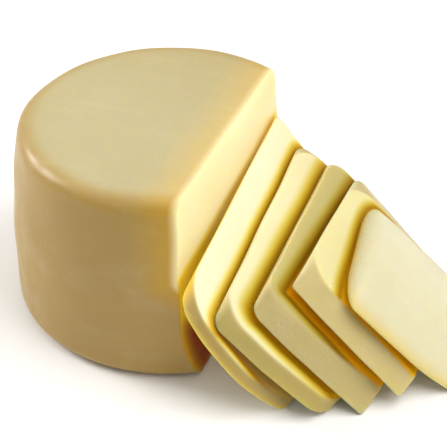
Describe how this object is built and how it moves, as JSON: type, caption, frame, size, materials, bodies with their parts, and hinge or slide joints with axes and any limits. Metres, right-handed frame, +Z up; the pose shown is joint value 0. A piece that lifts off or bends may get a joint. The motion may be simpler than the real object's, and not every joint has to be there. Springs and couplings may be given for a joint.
{
  "type": "kashar cheese",
  "caption": "Standing round of pale kashar cheese, cut straight down, with slices leaning in a row against its cut face.",
  "frame": {"origin": "on the round's axis, at the centre of its flat foot, on the surface it stands on", "axes": "+Z up along the round's axis, +X out of the cut face towards the slices, +Y along the cut face's chord"},
  "size_m": [0.2552, 0.1805, 0.108],
  "materials": {
    "rind": "satin",
    "paste": "matte"
  },
  "bodies": {
    "root": {"wheel": "rind", "slice_1": "paste", "slice_2": "paste", "slice_3": "paste", "slice_4": "paste", "slice_5": "paste"}
  },
  "joints": []
}
